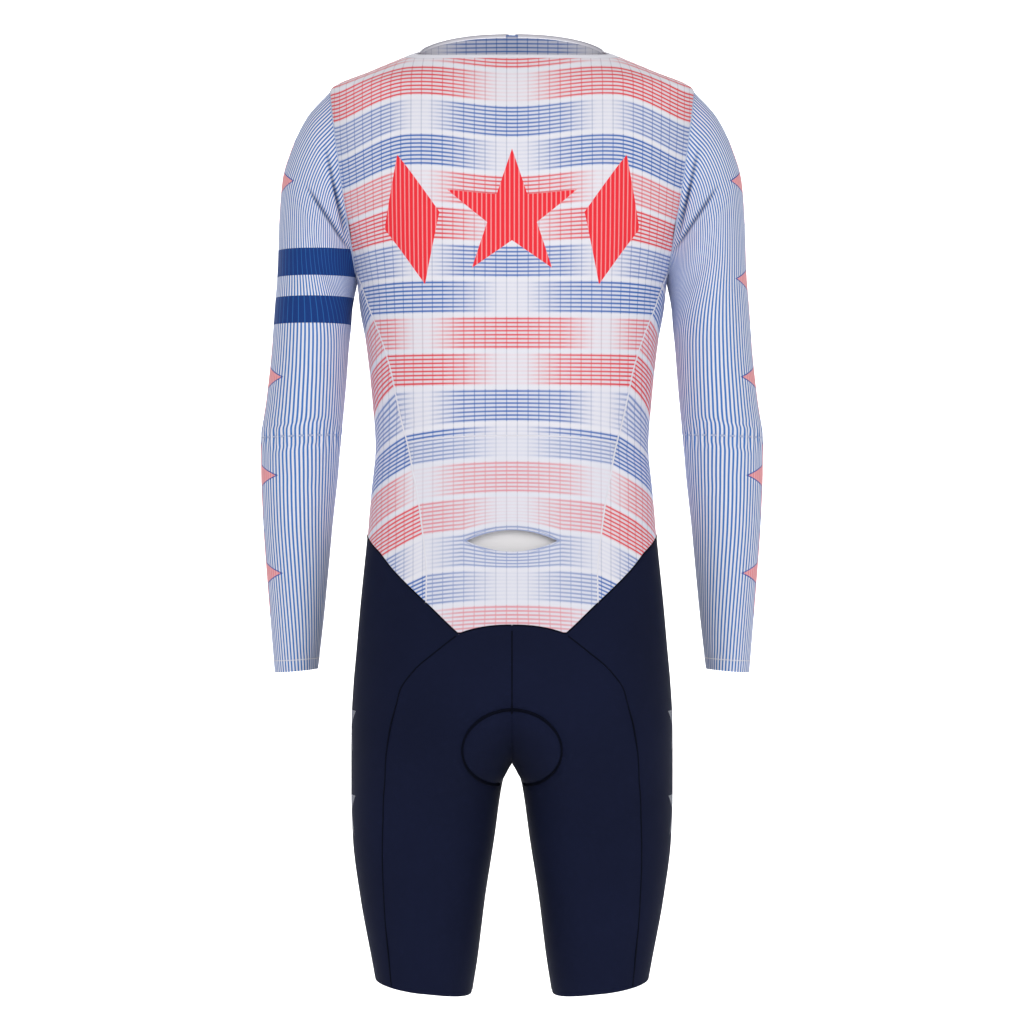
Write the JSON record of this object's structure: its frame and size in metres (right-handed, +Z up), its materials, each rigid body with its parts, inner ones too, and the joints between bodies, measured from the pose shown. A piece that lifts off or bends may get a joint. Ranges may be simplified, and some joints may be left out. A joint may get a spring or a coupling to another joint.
{
  "type": "cycling speed suit",
  "caption": "Long-sleeved, knee-length track cycling suit in worn form, open at the neck, cuffs and leg hems, with a back pocket and a front zip.",
  "frame": {"origin": "centre of the neck opening, at the height of the shoulder points", "axes": "+X to the wearer's right, +Y to the wearer's front, +Z up"},
  "size_m": [0.5212, 0.2467, 1.003],
  "materials": {
    "white_knit": "smooth printed knit",
    "sleeve_knit": "smooth striped knit",
    "navy_knit": "matt dense knit",
    "grey_lining": "plain lining knit",
    "zip_plastic": "moulded coil on tape",
    "zip_metal": "satin"
  },
  "bodies": {
    "suit": {"back_upper": "white_knit", "pocket_panel": "white_knit", "pocket_lining": "grey_lining", "side_panel_left": "white_knit", "side_panel_right": "white_knit", "front_left": "white_knit", "front_right": "white_knit", "neck_binding": "white_knit", "sleeve_upper_left": "sleeve_knit", "sleeve_upper_right": "sleeve_knit", "sleeve_lower_left": "sleeve_knit", "sleeve_lower_right": "sleeve_knit", "seat_left": "navy_knit", "seat_right": "navy_knit", "leg_outer_left": "navy_knit", "leg_outer_right": "navy_knit", "leg_front_left": "navy_knit", "leg_front_right": "navy_knit", "zip_coil": "zip_plastic", "zip_slider": "zip_metal"},
    "pull": {"zip_pull": "zip_metal"}
  },
  "joints": [
    {"name": "pull_swing", "type": "hinge", "parent": "suit", "child": "pull", "pos_m": [0, 0.06546, 0.05141], "axis": [1, 0, 0], "range_deg": [0, 140]}
  ]
}
